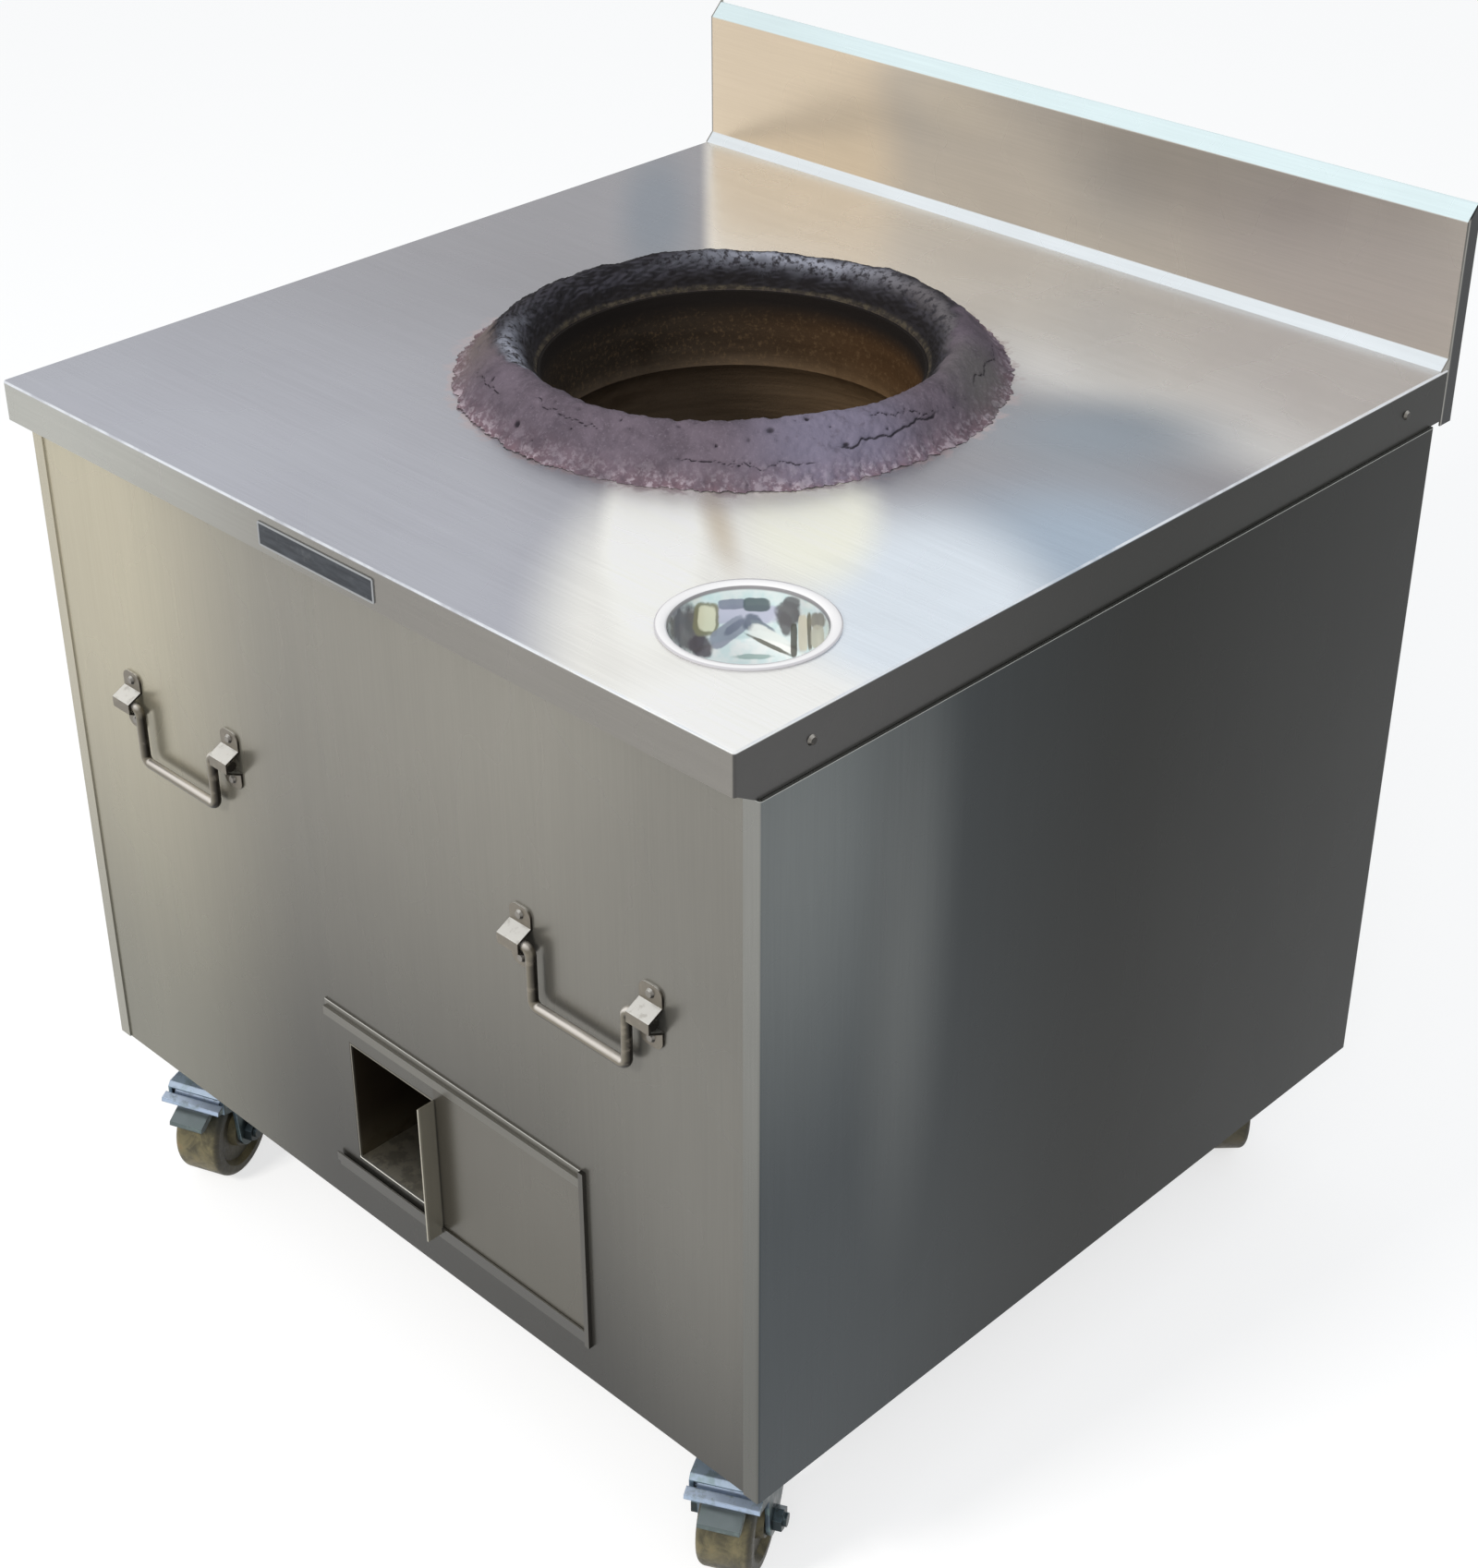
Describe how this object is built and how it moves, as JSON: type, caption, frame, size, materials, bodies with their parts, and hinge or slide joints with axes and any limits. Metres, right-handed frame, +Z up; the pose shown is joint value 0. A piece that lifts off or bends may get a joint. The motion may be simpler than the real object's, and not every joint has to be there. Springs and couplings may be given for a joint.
{
  "type": "clay tandoor oven",
  "caption": "Square stainless steel cabinet on casters round a clay oven pot, with a plastered mouth, splashback, water bowl, drop handles and a sliding draught door.",
  "frame": {"origin": "on the floor, under the middle of the whole oven", "axes": "+X to the cook's right, +Y to the wall behind, +Z up"},
  "size_m": [0.87, 0.869, 0.984],
  "materials": {
    "stainless": "satin",
    "frame_steel": "matte",
    "pot_clay": "matte",
    "collar_clay": "matte",
    "wool": "matte",
    "refractory": "matte",
    "iron": "matte",
    "polished_steel": "polished",
    "plate_dark": "satin",
    "zinc": "satin",
    "pedal_steel": "satin",
    "wheel_tread": "satin"
  },
  "bodies": {
    "body": {"worktop": "stainless", "splashback": "stainless", "splash_end_left": "stainless", "splash_end_right": "stainless", "front_panel": "stainless", "back_panel": "stainless", "side_panel_left": "stainless", "side_panel_right": "stainless", "vent_rail_top": "stainless", "vent_rail_bottom": "stainless", "vent_end_stop": "stainless", "handle_lug_left_left": "stainless", "handle_lug_left_right": "stainless", "handle_lug_right_left": "stainless", "handle_lug_right_right": "stainless", "base_rail_left": "frame_steel", "base_rail_right": "frame_steel", "base_rail_front": "frame_steel", "base_rail_back": "frame_steel", "corner_post_front_left": "frame_steel", "corner_post_front_right": "frame_steel", "corner_post_back_left": "frame_steel", "corner_post_back_right": "frame_steel", "top_rail_left": "frame_steel", "top_rail_right": "frame_steel", "top_rail_front": "frame_steel", "top_rail_back": "frame_steel", "bottom_plate": "frame_steel", "clay_pot": "pot_clay", "mouth_collar": "collar_clay", "insulation_jacket": "wool", "hearth_block": "refractory", "fire_grate": "iron", "vent_duct": "stainless", "nameplate": "plate_dark", "lug_screws": "zinc", "flange_screws": "zinc", "caster_bolts": "zinc", "caster_plate_front_right": "zinc", "caster_plate_front_left": "zinc", "caster_plate_back_right": "zinc", "caster_plate_back_left": "zinc"},
    "vent_door": {"vent_door": "stainless"},
    "bail_left": {"bail_left": "stainless"},
    "bail_right": {"bail_right": "stainless"},
    "water_bowl": {"water_bowl": "polished_steel"},
    "caster_fork_front_right": {"caster_fork_front_right": "zinc", "caster_axle_front_right": "zinc"},
    "caster_wheel_front_right": {"caster_wheel_front_right": "wheel_tread"},
    "caster_fork_front_left": {"caster_fork_front_left": "zinc", "caster_axle_front_left": "zinc"},
    "caster_wheel_front_left": {"caster_wheel_front_left": "wheel_tread"},
    "caster_fork_back_right": {"caster_fork_back_right": "zinc", "caster_axle_back_right": "zinc"},
    "caster_wheel_back_right": {"caster_wheel_back_right": "wheel_tread"},
    "caster_fork_back_left": {"caster_fork_back_left": "zinc", "caster_axle_back_left": "zinc"},
    "caster_wheel_back_left": {"caster_wheel_back_left": "wheel_tread"},
    "brake_pedal_front_left": {"brake_pedal_front_left": "pedal_steel"},
    "brake_pedal_front_right": {"brake_pedal_front_right": "pedal_steel"}
  },
  "joints": [
    {"name": "vent_door_slide", "type": "slide", "parent": "body", "child": "vent_door", "axis": [-1, 0, 0], "range_m": [0, 0.128]},
    {"name": "bail_left_swing", "type": "hinge", "parent": "body", "child": "bail_left", "pos_m": [-0.255, -0.4195, 0.561], "axis": [-1, 0, 0], "range_deg": [-4, 184]},
    {"name": "bail_right_swing", "type": "hinge", "parent": "body", "child": "bail_right", "pos_m": [0.255, -0.4195, 0.561], "axis": [-1, 0, 0], "range_deg": [-4, 184]},
    {"name": "water_bowl_lift", "type": "slide", "parent": "body", "child": "water_bowl", "axis": [0, 0, 1], "range_m": [0, 0.08]},
    {"name": "front_right_swivel", "type": "hinge", "parent": "body", "child": "caster_fork_front_right", "pos_m": [0.355, -0.339, 0.12], "axis": [0, 0, 1], "continuous": true},
    {"name": "front_right_roll", "type": "hinge", "parent": "caster_fork_front_right", "child": "caster_wheel_front_right", "pos_m": [0.36908, -0.36549, 0.05], "axis": [0.8829, 0.4695, 0], "continuous": true},
    {"name": "front_left_swivel", "type": "hinge", "parent": "body", "child": "caster_fork_front_left", "pos_m": [-0.355, -0.339, 0.12], "axis": [0, 0, 1], "continuous": true},
    {"name": "front_left_roll", "type": "hinge", "parent": "caster_fork_front_left", "child": "caster_wheel_front_left", "pos_m": [-0.34376, -0.36682, 0.05], "axis": [0.9272, 0.3746, 0], "continuous": true},
    {"name": "back_right_swivel", "type": "hinge", "parent": "body", "child": "caster_fork_back_right", "pos_m": [0.355, 0.331, 0.12], "axis": [0, 0, 1], "continuous": true},
    {"name": "back_right_roll", "type": "hinge", "parent": "caster_fork_back_right", "child": "caster_wheel_back_right", "pos_m": [0.33342, 0.35184, 0.05], "axis": [-0.6947, -0.7193, 0], "continuous": true},
    {"name": "back_left_swivel", "type": "hinge", "parent": "body", "child": "caster_fork_back_left", "pos_m": [-0.355, 0.331, 0.12], "axis": [0, 0, 1], "continuous": true},
    {"name": "back_left_roll", "type": "hinge", "parent": "caster_fork_back_left", "child": "caster_wheel_back_left", "pos_m": [-0.33779, 0.30643, 0.05], "axis": [0.8192, 0.5736, 0], "continuous": true},
    {"name": "front_left_brake", "type": "hinge", "parent": "caster_fork_front_left", "child": "brake_pedal_front_left", "pos_m": [-0.33252, -0.39465, 0.10402], "axis": [0.9272, 0.3746, 0], "range_deg": [0, 12]},
    {"name": "front_right_brake", "type": "hinge", "parent": "caster_fork_front_right", "child": "brake_pedal_front_right", "pos_m": [0.38318, -0.39199, 0.10402], "axis": [0.8829, 0.4695, 0], "range_deg": [0, 12]}
  ]
}
